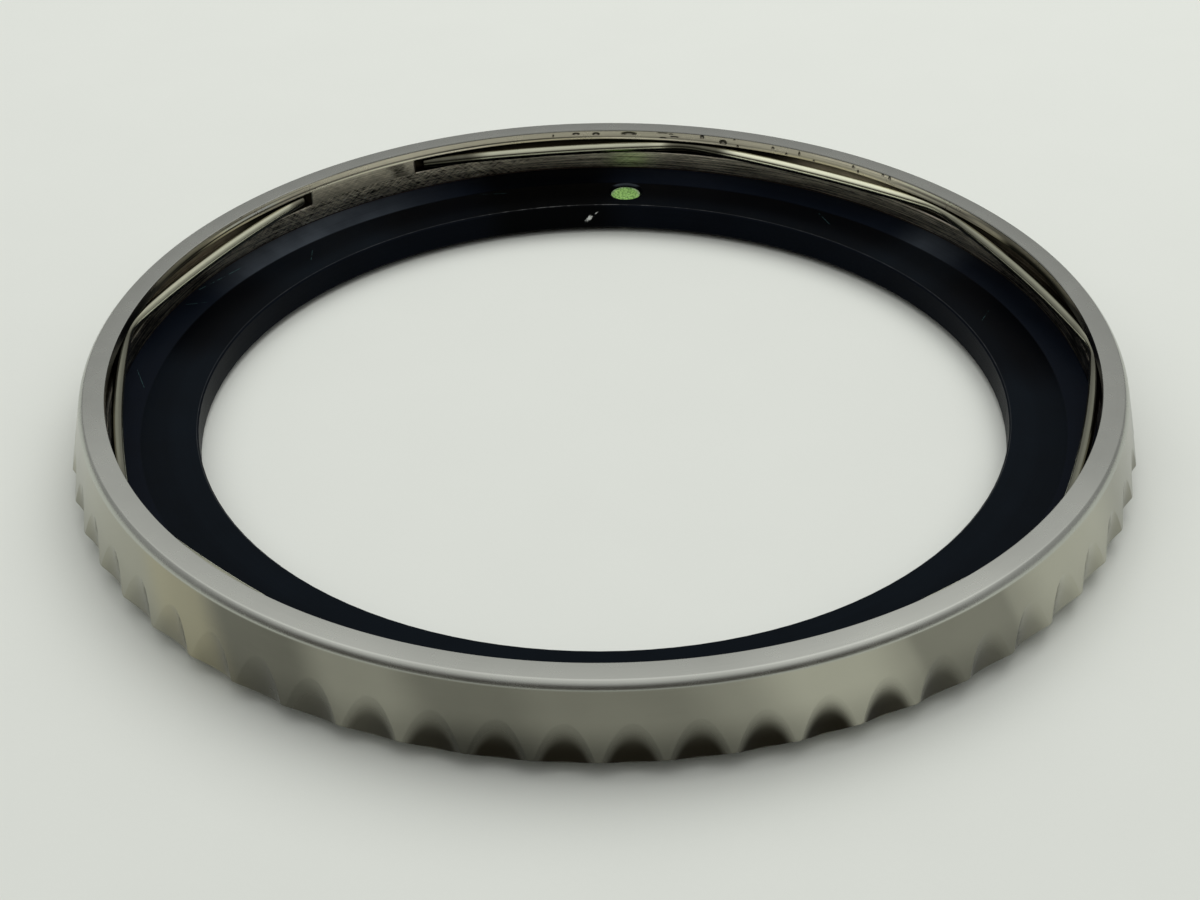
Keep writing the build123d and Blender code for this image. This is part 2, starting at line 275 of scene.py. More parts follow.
class Recipe:
    """The nodes of one material or of the world."""

    def __init__(self, tree):
        self.tree = tree
        tree.nodes.clear()

    def add(self, kind, settings=None, values=None, output=0):
        """Adds a node: first its settings, then the values or links of its sockets."""
        node = self.tree.nodes.new("ShaderNode" + kind)
        for name, setting in (settings or {}).items():
            if name == "stops":
                self.set_stops(node.color_ramp, setting)
            else:
                setattr(node, name, setting)
        for key, value in (values or {}).items():
            if isinstance(value, Signal):
                self.tree.links.new(value.socket, node.inputs[key])
            else:
                node.inputs[key].default_value = value
        return Signal(self, node.outputs[output]) if node.outputs else None

    def set_stops(self, ramp, stops):
        """Gives a ramp its stops, each a position and a grey level."""
        while len(ramp.elements) < len(stops):
            ramp.elements.new(0.5)
        for element, (position, grey) in zip(ramp.elements, stops):
            element.position = position
            element.color = (grey, grey, grey, 1)

    def parts(self, vector):
        """The three parts of a vector."""
        axes = self.add("SeparateXYZ", None, {0: vector})
        return [Signal(self, socket) for socket in axes.socket.node.outputs]

    def vector(self, x, y, z):
        """A vector from three values."""
        return self.add("CombineXYZ", None, {0: x, 1: y, 2: z})

    def step(self, value, low, high):
        """0 below one value, 1 above another, and smooth between them."""
        values = {"Value": value, "From Min": low, "From Max": high}
        return self.add("MapRange", {"interpolation_type": "SMOOTHSTEP"}, values)

    def band(self, value, low, high, soft):
        """1 between two values, with soft ends."""
        above = self.step(value, low - soft, low + soft)
        below = 1 - self.step(value, high - soft, high + soft)
        return above * below

    def patched(self, along, patches):
        """The change in tone that some patches give."""
        tone = 0.0
        for start, end, soft, change in patches:
            tone = tone + change * self.band(along, start, end, soft)
        return tone

    def as_colour(self, value):
        """A colour of three numbers with its fourth."""
        return value if isinstance(value, Signal) else (*value, 1)

    def mixed(self, factor, first, second):
        """The first colour, turned into the second as the factor rises."""
        colours = {"Factor": factor, 6: self.as_colour(first), 7: self.as_colour(second)}
        return self.add("Mix", {"data_type": "RGBA"}, colours, output=2)

    def toned(self, base, level):
        """A colour made lighter or darker by a level about 1."""
        grey = self.add("CombineColor", None, {0: level, 1: level, 2: level})
        settings = {"data_type": "RGBA", "blend_type": "MULTIPLY", "clamp_result": False}
        return self.add("Mix", settings, {"Factor": 1.0, 6: self.as_colour(base), 7: grey}, output=2)

    def noise(self, vector, scale, detail, roughness):
        """Smooth noise from 0 to 1."""
        values = {"Vector": vector, "Scale": scale, "Detail": detail, "Roughness": roughness}
        return self.add("TexNoise", None, values)

    def cells(self, vector, scale):
        """Distance from the middle of the nearest of many random cells."""
        return self.add("TexVoronoi", None, {"Vector": vector, "Scale": scale})

    def bump(self, height, distance, strength):
        """A normal from a height. The distance, in millimetres, is what a height of 1 stands for."""
        return self.add("Bump", None, {"Height": height, "Distance": distance * MM, "Strength": strength})


class Paint(Recipe):
    """The recipe of one material, which knows where the shaded point lies on the bezel.

    Lengths are millimetres from the axis and from the rim, and angles are degrees round from the right.
    """

    def __init__(self, name):
        self.material = bpy.data.materials.new(name)
        self.material.use_nodes = True
        super().__init__(self.material.node_tree)
        point = self.add("TexCoord", output="Object")
        self.point = self.add("VectorMath", {"operation": "SCALE"}, {0: point, "Scale": float(PER_METRE)})
        self.x, self.y, self.z = self.parts(self.point)
        self.radius = (self.x * self.x + self.y * self.y) ** 0.5
        self.angle = self.add("Math", {"operation": "ARCTAN2"}, {0: self.y, 1: self.x}) * math.degrees(1)

    def above(self, low, high):
        """0 below one height, 1 above another."""
        return self.step(self.z, low, high)

    def outside(self, low, high):
        """0 nearer the axis than one radius, 1 further from it than another."""
        return self.step(self.radius, low, high)

    def arc(self, start, end, soft):
        """1 from one angle round to another, with soft ends."""
        return self.band(self.angle, start, end, soft)

    def clouds(self, scale, detail, roughness):
        """Noise that fills the solid."""
        return self.noise(self.point, scale, detail, roughness)

    def lines(self, along, across, detail, roughness):
        """Noise that changes slowly round the axis and fast across it, for turned lines."""
        side, back = self.x / self.radius * along, self.y / self.radius * along
        return self.noise(self.vector(side, back, (self.z + self.radius) * across), 1.0, detail, roughness)

    def spot(self, degrees, height, radius, wide, tall):
        """1 in the middle of a small spot on a wall of the given radius, falling to 0 at its edge."""
        sideways = (self.angle - degrees) * (math.radians(1) * radius / wide)
        upwards = (self.z - height) * (1 / tall)
        away = (sideways * sideways + upwards * upwards) ** 0.5
        return 1 - self.step(away, 0.65, 1.1)

    def scratch(self, start, end, width):
        """1 on the straight line between two points seen from above, falling to 0 at its edges."""
        run = end - start
        along = ((self.x - start.x) * run.x + (self.y - start.y) * run.y) / run.length_squared
        held = along.greater_of(0.0).lesser_of(1.0)
        off_x = self.x - start.x - held * run.x
        off_y = self.y - start.y - held * run.y
        away = (off_x * off_x + off_y * off_y) ** 0.5
        return 1 - self.step(away, width * 0.3, width)

    def from_pip(self):
        """Distance from the pip's axis, and how far the point lies behind that axis."""
        low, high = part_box("pip_lume")
        behind = self.y - (low.y + high.y) / 2 * PER_METRE
        return (self.x * self.x + behind * behind) ** 0.5, behind

    def finished(self, values):
        """Ends the recipe with one surface shader, and hands over the material."""
        surface = self.add("BsdfPrincipled", None, values)
        self.add("OutputMaterial", None, {"Surface": surface})
        return self.material


def polar(radius, degrees):
    """A point at a radius and an angle."""
    turn = math.radians(degrees)
    return Vector((radius * math.cos(turn), radius * math.sin(turn)))


# Finishes

# Angles are degrees round from the right, lengths are millimetres and tones are shares of a plain surface's.

# Dents of the guide band: degrees round, height, half the width and half the height
BAND_DENTS = (
    (97.2, 3.34, 0.17, 0.07), (94.4, 3.32, 0.17, 0.08), (89.8, 3.34, 0.36, 0.09), (85.1, 3.42, 0.24, 0.03),
    (85.0, 3.19, 0.16, 0.05), (83.9, 3.39, 0.10, 0.04), (83.4, 3.27, 0.20, 0.05), (79.5, 3.38, 0.09, 0.12),
    (76.5, 3.23, 0.18, 0.13), (74.9, 3.43, 0.05, 0.05), (74.4, 3.13, 0.05, 0.08), (69.3, 3.32, 0.07, 0.08),
    (67.3, 3.17, 0.05, 0.07), (65.4, 3.30, 0.05, 0.12), (63.2, 3.13, 0.05, 0.06), (57.2, 3.34, 0.07, 0.09),
    (56.4, 3.19, 0.05, 0.10), (52.5, 3.42, 0.07, 0.10), (51.4, 3.38, 0.07, 0.13), (100.4, 3.30, 0.04, 0.08),
    (148.6, 3.45, 0.07, 0.05), (120.0, 3.02, 0.10, 0.06),
)

# Patches that differ in tone: start, end, softness of the ends, and change in tone
# Lighter and darker patches of the flank, painted reflections
FLANK_REFLECTIONS = (
    (-176, -163, 5, 0.52), (-158, -133, 7, 0.24), (-126, -114, 2.5, -0.46), (-104, -93, 3, -0.40),
    (-93, -77, 3, -0.24), (-71, -58.5, 3.5, 0.52), (-56.5, -44.5, 0.8, -0.22), (-42, -25, 4, 0.46),
    (-11, 20, 2.5, -0.30),
)
# Lighter stretches of the lip, painted reflections
LIP_REFLECTIONS = ((-160, -106, 6, 0.15), (-72, -25, 5, 0.16), (-63, -44, 4, 0.12))
# Lighter and darker stretches of the guide band, painted reflections
GUIDE_REFLECTIONS = ((117, 147, 6, 0.28), (75, 106, 6, -0.12), (36, 56, 5, 0.36))
# Where lighter brown patches lie on the groove's floor
GROOVE_BROWN_PATCHES = ((148, 171, 5, 0.38), (46, 66, 4, 0.52), (22, 36, 4, 0.15))
# Lighter and darker stretches of the wire, painted reflections
WIRE_REFLECTIONS = (
    (176, 190, 2, -0.56), (141, 171, 3, -0.23), (86, 125, 2, -0.43), (49, 73, 3, 0.10), (8, 41, 2, -0.54),
    (-40, 4, 2, -0.60), (-190, -140, 2, -0.56), (134, 139, 1, -0.35), (112, 125, 1.5, -0.30),
    (75.5, 84.5, 1.5, -0.62),
)
# Brown painted shade at the wire's corners and ends
WIRE_SHADE_PATCHES = ((134, 140.3, 0.8, 0.9), (110.8, 125, 1.6, 0.9), (76.5, 85, 1, 0.95))
# Paler stretches of the flat back, painted reflection
FLAT_SHEEN_PATCHES = ((-190, 6, 6, 0.85), (34, 47, 4, 0.50), (129, 152, 5, 0.55), (172, 190, 5, 0.85))

# Stretches with one tone: start, end and softness of the ends
SHADED_FRONT = (-112, -50, 16)
SHADED_RIGHT = (-12, 30.5, 2.5)
SHADED_LEFT = (156, 190, 3)
DARK_LIP_EDGE = (16, 134, 6)
HATCHED = (106, 146, 6)
# Where the yellowish painted reflection lies on the flank
WARM_FLANK_REFLECTION = (-131, -121, 2.5)
# A small painted sheen, and a stretch of the outer band dimmed as painted reflection
SMALL_SHEEN = (37.5, 46, 3.5)
DIM_CONE_REFLECTION = (92, 112, 4)

# Lines along the guide band: start, end, softness, height above the groove from and to, and change in tone
GUIDE_LINES = (
    (102, 190, 12, 0.115, 0.185, -0.85), (52, 102, 9, 0.115, 0.185, -0.30), (38, 50, 2.5, 0.19, 0.26, -0.65),
    (136, 153, 3, 0.31, 0.35, -0.55), (142, 153, 3, 0.195, 0.280, 1.35), (38, 63, 4, 0.31, 0.39, 0.35),
    (37, 50, 2.5, 0.31, 0.39, 0.30), (41, 50, 2, 0.09, 0.16, 0.60), (31, 37, 1.5, 0.11, 0.26, 0.60),
    (78, 141, 9, 0.052, 0.098, 0.80),
)

# How soft the upper and lower sides of those lines are
GUIDE_LINE_SOFT = 0.012

# Scratches on the insert's back: radius and degrees round of each end, and half the width
BACK_SCRATCHES = (
    (18.41, 158.7, 18.06, 150.4, 0.022), (18.30, 162.5, 17.60, 159.8, 0.010),
    (18.20, 178.5, 17.70, 181.8, 0.010), (16.90, 141.0, 16.20, 143.5, 0.008),
    (17.20, 60.0, 16.60, 57.0, 0.008), (16.70, 24.0, 16.10, 22.0, 0.008),
    (17.35, 112.0, 17.10, 108.0, 0.008),
)

# The chip in the insert's inner wall: its middle, how it leans, and the halves of its body and of its tail
CHIP_ANGLE = 95.8
CHIP_HEIGHT = 0.72
CHIP_LEAN = math.radians(39)
CHIP_BODY = (0.27, 0.12)
CHIP_TAIL = (0.16, 0.03)
CHIP_TAIL_START = 0.40

# Where the insert's inner edge is worn most
MOST_WORN_ANGLE = 96.0

# The guide band's foot darkens to the left between these angles
DARKER_FOOT = (88, 122)

# The painted sheen on the left of the insert's outer band: where it starts, is full, starts to fade and ends
LEFT_SHEEN = (112, 141, 147, 160)

# The painted glint, a pale arc behind the pip: its radii round the pip's axis and their softness
GLINT_BAND = (0.72, 0.82, 0.04)


class RingZones:
    """How far the shaded point belongs to each part of the ring, from 0 to 1, with soft ends."""

    def __init__(self, paint, sizes):
        form = RingForm(sizes, PER_METRE)
        self.form = form
        self.land_start = math.degrees(sizes.land_middle - sizes.land_angle / 2)

        below_lip = 1 - paint.above(form.top_z - 0.035, form.top_z - 0.015)
        self.bore = below_lip * (1 - paint.outside(form.bore_r + 0.02, form.bore_r + 0.06))
        under_lip = 1 - paint.above(form.shoulder_z - 0.03, form.shoulder_z + 0.05)
        self.flank = under_lip * paint.outside(form.shoulder_r - 0.15, form.shoulder_r - 0.05)
        self.lip = (1 - under_lip) * (1 - self.bore)
        on_edge = paint.above(form.top_z - 0.060, form.top_z - 0.040)
        on_edge = on_edge * (1 - paint.outside(form.bore_r + 0.03, form.bore_r + 0.06))
        self.lip_edge = on_edge * paint.arc(*DARK_LIP_EDGE)
        self.guide = self.bore * paint.above(form.groove_top_z - 0.02, form.groove_top_z + 0.02)
        self.lower_bore = self.bore * (1 - self.guide)
        groove = paint.band(paint.z, form.groove_bottom_z - 0.01, form.groove_top_z + 0.01, 0.01)
        self.groove = groove * paint.band(paint.radius, form.bore_r + 0.06, form.crest_r - 0.9, 0.05)

        slope = (form.crest_r - form.shoulder_r) / (form.shoulder_z - form.crest_z)
        cone_r = (form.shoulder_z - paint.z) * slope + form.shoulder_r
        below_cone = (cone_r - paint.radius) * paint.above(form.crest_z - 0.30, form.crest_z - 0.10)
        lower_half = 1 - paint.above(form.crest_z + 0.1, form.crest_z + 1.5)
        shaded_front = paint.arc(*SHADED_FRONT)
        # The scallops' darkening is painted shade, stronger low down and on the front
        scallop = paint.step(below_cone, 0.015, 0.20) * (0.50 + 0.50 * lower_half)
        self.scallop = scallop * self.flank * (0.12 + 0.88 * shaded_front)
        self.shaded_foot = self.flank * lower_half * (0.15 + 0.85 * shaded_front)


def dented(paint, zones):
    """1 in the dents of the guide band, which are darkened as painted shade, less where their far side
    catches the light as a painted highlight.
    """
    dents = paint.above(zones.form.top_z, zones.form.top_z + 1.0)
    for degrees, height, wide, tall in BAND_DENTS:
        outline = paint.spot(degrees, height, zones.form.bore_r, wide, tall)
        lit = paint.spot(degrees, height - tall * 0.5, zones.form.bore_r, wide * 0.6, tall * 0.6)
        dents = dents.greater_of(outline - lit * 0.75)
    return dents * zones.guide


def flank_tone(paint):
    """Painted reflections: lighter and darker patches on the polished flank, leaning a little as they go
    down.
    """
    leaning = paint.angle + paint.z * 1.2 - 2.8
    cloud = paint.lines(7.0, 0.5, 1.0, 0.4) * 0.16 - 0.08
    return cloud + paint.patched(leaning, FLANK_REFLECTIONS)


def guide_tone(paint, zones, lines, shaded, painted_dark_sides):
    """Tone of the band above the groove: turned lines, patches of painted reflection, long marks, a dark
    foot, and dark sides that are painted shade.
    """
    above_groove = paint.z - zones.form.groove_top_z
    left_part = paint.step(paint.angle, *DARKER_FOOT)
    foot = 1 - paint.step(above_groove, 0.0, 0.035)
    tone = (lines - 0.5) * 0.7 - foot * (0.16 + 0.52 * left_part) - 0.05
    tone = tone + paint.patched(paint.angle, GUIDE_REFLECTIONS)
    for start, end, soft, low, high, change in GUIDE_LINES:
        line = paint.band(above_groove, low, high, GUIDE_LINE_SOFT)
        tone = tone + change * line * paint.arc(start, end, soft)
    return tone - shaded * (1 - paint.step(above_groove, 0.14, 0.38)) - 0.80 * painted_dark_sides


def lower_tone(paint, zones, shaded, painted_dark_sides):
    """Tone of the bore below the groove and of the land: streaks, crossed marks, a smear, and dark sides that
    are painted shade.
    """
    slant = paint.z * 9.0
    streaks = paint.noise(paint.vector(paint.angle * 0.13, paint.z * 16.0, 0.0), 1.0, 3.0, 0.6)
    slanted = paint.noise(paint.vector(paint.angle * 2.0 + slant, paint.z * 2.0, 0.0), 1.0, 3.0, 0.8)
    crossed = paint.noise(paint.vector(paint.angle * 2.0 - slant, paint.z * 2.0, 4.0), 1.0, 3.0, 0.8)
    on_land = paint.above(zones.form.groove_bottom_z - 0.02, zones.form.groove_bottom_z + 0.02)
    tone = (streaks - 0.48) * (4.4 - 3.2 * on_land)
    tone = tone + (slanted + crossed - 1.0) * (1 - 0.75 * on_land) * (1.0 + 3.0 * paint.arc(*HATCHED))
    cloud = paint.clouds(2.4, 3.0, 0.6)
    leaning = paint.angle - paint.z * 1.5 + (cloud - 0.5) * 3.0
    smear_start = zones.land_start - zones.form.groove_top_z * 1.5
    smear = paint.band(leaning, smear_start + 2.0, smear_start + 4.2, 0.9) * on_land
    tone = tone + (cloud - 0.5) * 0.5 * on_land - smear * 0.60 - shaded * 0.55 - painted_dark_sides * 0.30
    return tone - 0.10


def bore_tone(paint, zones, lines):
    """Tone of the whole bore. Its left and right parts, and most of all its far sides, are darker: painted
    shade where they mirror the dark room.
    """
    # Painted shade on the bore's far sides, which mirror the dark room
    painted_dark_sides = paint.step(abs(paint.x), zones.form.bore_r - 0.58, zones.form.bore_r - 0.18)
    shaded = paint.arc(*SHADED_RIGHT) + 0.84 * paint.arc(*SHADED_LEFT)
    guide = guide_tone(paint, zones, lines, shaded, painted_dark_sides)
    lower = lower_tone(paint, zones, shaded, painted_dark_sides)
    return zones.guide * guide + zones.lower_bore * lower


def make_ring_steel(colours, sizes):
    """Steel with a satin lip, a polished flank, a turned bore with dents, and recesses darkened as painted
    shade. The flank's darker, warmer tone and the lighter and darker patches on lip, flank and bore are
    painted reflections.
    """
    paint = Paint("ring_steel")
    zones = RingZones(paint, sizes)
    lines = paint.lines(3.0, 42.0, 3.0, 0.6)
    broad_lines = paint.lines(5.0, 9.0, 2.0, 0.5)
    smudge = paint.clouds(0.9, 4.0, 0.6)
    dents = dented(paint, zones)
    browner_patches = paint.patched(paint.angle, GROOVE_BROWN_PATCHES) * (0.5 + smudge)
    # Painted shade in the groove and the scallops; the same mask also roughens them
    shaded_recess = zones.groove.greater_of(zones.scallop)

    # A yellowish painted reflection on the flank
    warm = paint.band(paint.angle + paint.z * 2.0, *WARM_FLANK_REFLECTION) * zones.flank
    base = paint.mixed(zones.flank, colours.lip_steel, colours.flank_reflection_steel)
    base = paint.mixed(warm * 0.8, base, colours.flank_warm_reflection)
    base = paint.mixed(zones.bore, base, colours.bore_steel)
    base = paint.mixed(shaded_recess, base, paint.mixed(browner_patches, colours.recess_shade_steel, colours.groove_brown))
    level = 0.95 + 0.10 * smudge + (lines - 0.5) * 0.08
    # Painted reflections on the flank, and painted shade at its foot
    level = level + flank_tone(paint) * zones.flank * (1 - zones.scallop) - 0.40 * zones.shaded_foot
    level = level + bore_tone(paint, zones, lines) + 0.7 * zones.groove * smudge
    # Painted reflections on the lip
    level = level + paint.patched(paint.angle, LIP_REFLECTIONS) * zones.lip
    # The dents darken the colour as painted shade
    level = level.greater_of(0.025) * (1 - 0.85 * dents) * (1 - 0.50 * zones.lip_edge)

    rough = 0.265 - 0.065 * zones.flank + 0.02 * zones.guide + 0.07 * zones.lower_bore
    height = (lines * 0.5 + broad_lines * 0.4) * (0.25 + zones.lower_bore * 0.75) - dents * 4.0
    return paint.finished({
        "Base Color": paint.toned(base, level),
        "Metallic": 1.0,
        "Roughness": rough + shaded_recess * 0.25 + (smudge - 0.5) * 0.10 + dents * 0.15,
        "Normal": paint.bump(height, 0.010, 0.8),
    })


def make_wire_steel(colours, sizes):
    """Bright drawn wire with lines along it, lighter and darker by painted reflection, and browned by painted
    shade in the groove, on its underside and at some corners.
    """
    paint = Paint("spring_wire")
    form = RingForm(sizes, PER_METRE)
    lines = paint.lines(2.5, 30.0, 3.0, 0.6)
    smudge = paint.clouds(2.2, 3.0, 0.6)
    # Painted shade: the wire browns and darkens deep in the groove, on its underside and at listed corners
    shaded_in_groove = paint.outside(form.groove_r - 0.75, form.groove_r - 0.42)
    shaded_underside = 1 - paint.above(form.groove_middle_z - 0.08, form.groove_middle_z + 0.06)
    rubbed = (shaded_in_groove * 0.45).greater_of(shaded_underside * 0.75)
    brown_shade = rubbed.greater_of(paint.patched(paint.angle, WIRE_SHADE_PATCHES)) * (0.45 + 0.55 * smudge)
    base = paint.mixed(brown_shade, colours.wire_steel, colours.wire_shade)
    level = 0.94 + (lines - 0.5) * 0.20 + (smudge - 0.5) * 0.14
    # Painted reflections along the wire
    level = level * (1 + paint.patched(paint.angle, WIRE_REFLECTIONS))
    return paint.finished({
        "Base Color": paint.toned(base, level),
        "Metallic": 1.0,
        "Roughness": 0.09 + 0.08 * smudge + 0.16 * brown_shade,
        "Normal": paint.bump(lines, 0.002, 0.6),
    })


def scratched(paint, back_z):
    """1 along the scratches of the insert's back, broken here and there."""
    marks = paint.above(back_z + 1.0, back_z + 2.0)
    for start_r, start, end_r, end, half_width in BACK_SCRATCHES:
        marks = marks.greater_of(paint.scratch(polar(start_r, start), polar(end_r, end), half_width))
    broken = paint.step(paint.clouds(4.0, 2.0, 0.6), 0.40, 0.55)
    return marks * broken * paint.above(back_z - 0.2, back_z - 0.05)


def oval(along, across, halves):
    """Distance from the middle of an oval, in halves of its length and width."""
    return ((along / halves[0]) ** 2.0 + (across / halves[1]) ** 2.0) ** 0.5


def chipped(paint, opening_r):
    """1 in the chip of the insert's inner wall, which leans up to the right and trails off there."""
    ragged = paint.clouds(13.0, 4.0, 0.8)
    sideways = (CHIP_ANGLE - paint.angle) * (math.radians(1) * opening_r)
    upwards = paint.z - CHIP_HEIGHT
    along = sideways * math.cos(CHIP_LEAN) + upwards * math.sin(CHIP_LEAN)
    across = upwards * math.cos(CHIP_LEAN) - sideways * math.sin(CHIP_LEAN)
    nearest = oval(along, across, CHIP_BODY).lesser_of(oval(along - CHIP_TAIL_START, across, CHIP_TAIL))
    return paint.step(1.15 - nearest + (ragged - 0.5) * 2.6, 0.30, 0.65)


def worn_edge(paint, opening_r, back_z):
    """1 where the insert's inner edge is rubbed bare, which is mostly near the chip."""
    back_edge = paint.band(paint.radius, opening_r + 0.052, opening_r + 0.070, 0.010)
    back_edge = back_edge * paint.above(back_z - 0.09, back_z - 0.05)
    rubbed = paint.lines(26.0, 2.0, 3.0, 0.7)
    near_chip = 1 - paint.step(abs(paint.angle - MOST_WORN_ANGLE), 4.0, 26.0)
    return back_edge * (0.04 + paint.step(rubbed, 0.45, 0.72) * (0.04 + 0.20 * near_chip))


def painted_glint(paint):
    """1 on the painted glint: the short pale arc of the insert's back that lies just behind the pip."""
    from_axis, behind = paint.from_pip()
    return paint.band(from_axis, *GLINT_BAND) * paint.step(behind, 0.48, 0.66)


def make_insert_black(colours, sizes):
    """Black anodised metal with turned lines, scratches, a chip and a worn inner edge, and painted sheen and
    reflections on its back.
    """
    paint = Paint("insert_black")
    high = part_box("insert")[1]
    outer_r = high.x * PER_METRE
    back_z = high.z * PER_METRE - sizes.band_rise * PER_METRE
    opening_r = outer_r - sizes.width * PER_METRE
    flat_r = outer_r - sizes.cone_width * PER_METRE

    lines = paint.lines(2.0, 30.0, 3.0, 0.6)
    cloud = paint.clouds(0.55, 3.0, 0.55)
    grain = paint.clouds(26.0, 2.0, 0.6)
    on_cone = paint.outside(flat_r - 0.03, flat_r + 0.06) * paint.above(back_z - 0.1, back_z)
    on_wall = 1 - paint.outside(opening_r + 0.03, opening_r + 0.08)
    chip = chipped(paint, opening_r) * on_wall
    worn = worn_edge(paint, opening_r, back_z).greater_of(chip)
    scratches = scratched(paint, back_z)

    start, full, fading, end = LEFT_SHEEN
    left_sheen = paint.step(paint.angle, start, full) * (1 - paint.step(paint.angle, fading, end))
    # Painted sheen and reflection on the outer band, dimmer in one stretch
    sheen = (left_sheen + 0.5 * paint.arc(*SMALL_SHEEN)) * (0.45 + 0.9 * cloud)
    cone_colour = paint.mixed(sheen, colours.insert_cone_reflection, colours.insert_painted_sheen)
    # Painted reflection: the flat back is paler near the opening and in listed stretches, darker elsewhere
    inner_flat_sheen = 1 - paint.outside(opening_r + 0.30, opening_r + 1.30)
    flat_sheen = paint.patched(paint.angle, FLAT_SHEEN_PATCHES) + 0.45 * inner_flat_sheen
    flat_colour = paint.mixed(flat_sheen * (1 - on_wall), colours.insert_black, colours.insert_flat_sheen)
    on_flat = (1 - on_cone) * (1 - on_wall) * (1 - flat_sheen).greater_of(0.0)
    streaks = 0.70 + 0.6 * cloud + (lines - 0.5) * 0.5
    level = streaks * (1 - 0.85 * paint.arc(*DIM_CONE_REFLECTION)) * (1 + 0.9 * on_wall - 0.6 * on_flat)
    base = paint.toned(paint.mixed(on_cone, flat_colour, cone_colour), level)
    base = paint.mixed(painted_glint(paint), base, colours.insert_painted_sheen)
    base = paint.mixed(scratches * 0.7, base, colours.insert_scratch)
    height = lines * (0.4 + on_wall * 0.8) + grain * 0.25 - scratches * 1.5 - chip * 4.0
    return paint.finished({
        "Base Color": paint.mixed(worn, base, colours.insert_bare),
        "Metallic": worn,
        "Roughness": 0.36 + (cloud - 0.5) * 0.16 + on_cone * 0.05,
        "Specular IOR Level": 0.022,
        "Normal": paint.bump(height, 0.008, 0.7),
    })


def make_lume(colours, pip):
    """Speckled luminous compound, yellow green by day, with a greyer rim on its far side as painted shade."""
    paint = Paint("lume")
    stem_r = pip.stem_diameter * PER_METRE / 2
    from_axis, behind = paint.from_pip()
    grains = paint.cells(paint.point, 9.0)
    specks = paint.clouds(11.0, 3.0, 0.75)
    cloud = paint.clouds(2.6, 2.0, 0.5)
    # Painted shade on the far side of the rim
    rim = paint.step(from_axis, stem_r - 0.16, stem_r - 0.05) * paint.step(behind, -0.30, 0.10)
    rim = rim * paint.step(specks, 0.30, 0.50)
    base = paint.toned(colours.lume, 0.80 + 0.40 * cloud)
    base = paint.mixed(paint.step(specks, 0.52, 0.66) * 0.75, base, colours.lume_pale)
    base = paint.mixed(rim * 0.75, base, colours.lume_shaded_rim)
    return paint.finished({
        "Base Color": paint.mixed(paint.step(grains, 0.42, 0.70) * 0.75, base, colours.lume_dark),
        "Roughness": 0.62 + 0.25 * specks,
        "Normal": paint.bump(specks - grains, 0.03, 0.9),
    })


def make_collar_steel(colours):
    """Polished sleeve with fine turned lines."""
    paint = Paint("collar_steel")
    lines = paint.noise(paint.vector(paint.x, paint.y, paint.z * 30.0), 1.5, 2.0, 0.6)
    smudge = paint.clouds(3.0, 3.0, 0.6)
    return paint.finished({
        "Base Color": paint.toned(colours.collar_steel, 0.92 + 0.16 * smudge),
        "Metallic": 1.0,
        "Roughness": 0.12 + 0.14 * smudge,
        "Normal": paint.bump(lines, 0.003, 0.6),
    })


def make_lens_clear(colours):
    """Clear lens with a faint haze of fine scratches."""
    paint = Paint("lens")
    hairs = paint.noise(paint.vector(paint.x * 14.0, paint.y * 2.0, paint.z), 1.0, 3.0, 0.7)
    haze = paint.step(hairs, 0.55, 0.75)
    return paint.finished({
        "Base Color": paint.mixed(haze * 0.15, colours.lens, colours.lens_haze),
        "Roughness": 0.03 + haze * 0.06,
        "Alpha": 0.18 + haze * 0.08,
        "Specular IOR Level": 1.0,
        "Normal": paint.bump(hairs, 0.001, 0.4),
    })


def make_bond(colours):
    """Hardened brown adhesive, uneven and slightly glossy."""
    paint = Paint("bond")
    lumps = paint.clouds(3.0, 4.0, 0.6)
    return paint.finished({
        "Base Color": paint.toned(colours.bond, 0.7 + 0.6 * lumps),
        "Roughness": 0.30 + 0.30 * lumps,
        "Normal": paint.bump(lumps, 0.02, 0.8),
    })


def make_mark_fill(colours):
    """Silvery fill of the dial's marks, slightly dished and dusty."""
    paint = Paint("mark_fill")
    dust = paint.clouds(18.0, 4.0, 0.7)
    cloud = paint.clouds(1.2, 2.0, 0.5)
    base = paint.toned(colours.marks, 0.90 + 0.16 * cloud)
    return paint.finished({
        "Base Color": paint.mixed(paint.step(dust, 0.62, 0.76) * 0.4, base, colours.marks_dust),
        "Metallic": 0.25,
        "Roughness": 0.34 + 0.22 * dust,
        "Normal": paint.bump(dust, 0.006, 0.7),
    })


def make_card(colours):
    """Pale smooth card with a faint mottle and a fine tooth, and painted shade that makes it a little darker
    towards the camera.
    """
    paint = Paint("card")
    mottle = paint.clouds(0.22, 3.0, 0.5)
    tooth = paint.clouds(5.0, 3.0, 0.6)
    near_camera_shade = paint.step(paint.y * -1.0, -45.0, 30.0)
    level = 1.0 - 0.045 * near_camera_shade + (mottle - 0.5) * 0.025 + (tooth - 0.5) * 0.012
    return paint.finished({
        "Base Color": paint.toned(colours.card, level),
        "Roughness": 0.62,
        "Specular IOR Level": 0.15,
        "Normal": paint.bump(tooth, 0.006, 0.5),
    })


# Shapes

def towards(turn):
    """A step of length 1 at an angle round from the right."""
    return Vector((math.cos(turn), math.sin(turn)))


def lesser_rounded(first, second, blend):
    """The lesser of two lengths, rounded over where they cross."""
    share = min(max(0.5 + 0.5 * (second - first) / blend, 0), 1)
    return second + (first - second) * share - blend * share * (1 - share)


